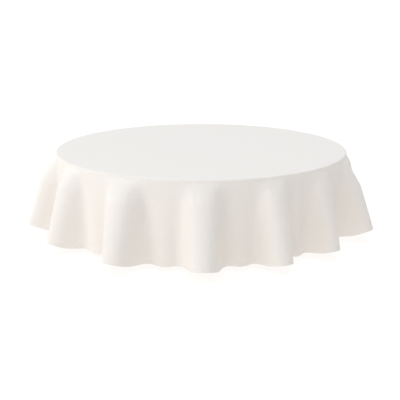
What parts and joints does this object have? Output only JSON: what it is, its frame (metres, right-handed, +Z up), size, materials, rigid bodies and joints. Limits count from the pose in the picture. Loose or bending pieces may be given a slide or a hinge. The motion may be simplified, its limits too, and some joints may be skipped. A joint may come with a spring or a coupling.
{
  "type": "cloth-covered round table",
  "caption": "Low round table with a square apron frame on tapered legs, under a round tablecloth that drapes in folds to just above the floor and lifts off.",
  "frame": {"origin": "on the floor, under the middle of the round table top", "axes": "+Z up; -Y is the front, the side seen first; +X to the right"},
  "size_m": [1.4156, 1.4225, 0.3213],
  "materials": {
    "table_linen": "plain-woven ivory table linen, matte",
    "sewing_thread": "spun polyester sewing thread",
    "label_tape": "blank satin label tape",
    "veneered_board": "beech veneered board, satin lacquer",
    "beech_lipping": "solid beech lipping, satin lacquer",
    "beech_frame": "solid beech, satin lacquer",
    "nylon_glide": "moulded nylon",
    "zinc_plated_steel": "bright zinc plate"
  },
  "bodies": {
    "table": {"apron_back": "beech_frame", "apron_front": "beech_frame", "apron_left": "beech_frame", "apron_right": "beech_frame", "batten_back": "beech_frame", "batten_front": "beech_frame", "batten_screws": "zinc_plated_steel", "block_screws": "zinc_plated_steel", "bracket_back_a": "zinc_plated_steel", "bracket_back_b": "zinc_plated_steel", "bracket_front_a": "zinc_plated_steel", "bracket_front_b": "zinc_plated_steel", "bracket_left_a": "zinc_plated_steel", "bracket_left_b": "zinc_plated_steel", "bracket_right_a": "zinc_plated_steel", "bracket_right_b": "zinc_plated_steel", "bracket_screws": "zinc_plated_steel", "corner_block_back_left": "beech_frame", "corner_block_back_right": "beech_frame", "corner_block_front_left": "beech_frame", "corner_block_front_right": "beech_frame", "edge_lipping": "beech_lipping", "glide_back_left": "nylon_glide", "glide_back_right": "nylon_glide", "glide_front_left": "nylon_glide", "glide_front_right": "nylon_glide", "glide_nails": "zinc_plated_steel", "hanger_bolts": "zinc_plated_steel", "leg_back_left": "beech_frame", "leg_back_right": "beech_frame", "leg_front_left": "beech_frame", "leg_front_right": "beech_frame", "nuts": "zinc_plated_steel", "tabletop_board": "veneered_board", "washers": "zinc_plated_steel"},
    "tablecloth": {"tablecloth_panel": "table_linen", "hem_facing": "table_linen", "hem_stitching": "sewing_thread", "care_label": "label_tape"}
  },
  "joints": [
    {"name": "cloth_lift", "type": "slide", "parent": "table", "child": "tablecloth", "axis": [0, 0, 1], "range_m": [0, 0.35]}
  ]
}
